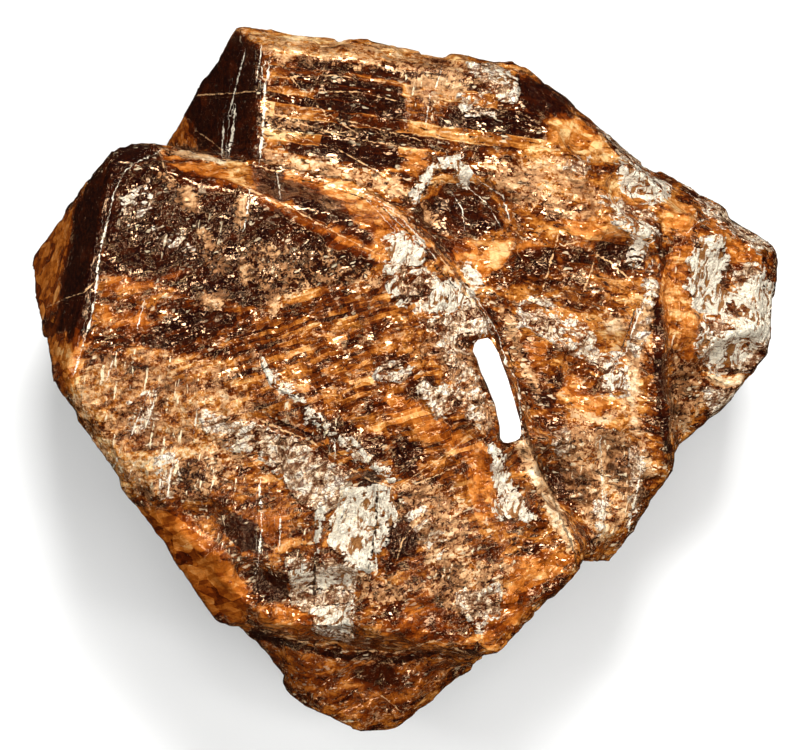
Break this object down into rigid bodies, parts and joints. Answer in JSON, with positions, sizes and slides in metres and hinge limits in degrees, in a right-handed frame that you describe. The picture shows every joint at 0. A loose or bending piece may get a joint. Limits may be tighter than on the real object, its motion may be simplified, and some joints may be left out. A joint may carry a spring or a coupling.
{
  "type": "zircon crystal specimen",
  "caption": "Intergrown brown zircon crystals, hand-sized, lying on a flat base with smooth end faces, shell-shaped breaks and a blank paper strip on the upper face.",
  "frame": {"origin": "middle of the underside of the specimen's box, on the surface that it lies on", "axes": "+X right across the upper face, +Y up across it, +Z away from the surface that it lies on"},
  "size_m": [0.105, 0.099, 0.0434],
  "materials": {
    "zircon": "resinous to glassy",
    "label_paper": "matte"
  },
  "bodies": {
    "root": {"zircon_crystal": "zircon", "specimen_label": "label_paper"}
  },
  "joints": []
}
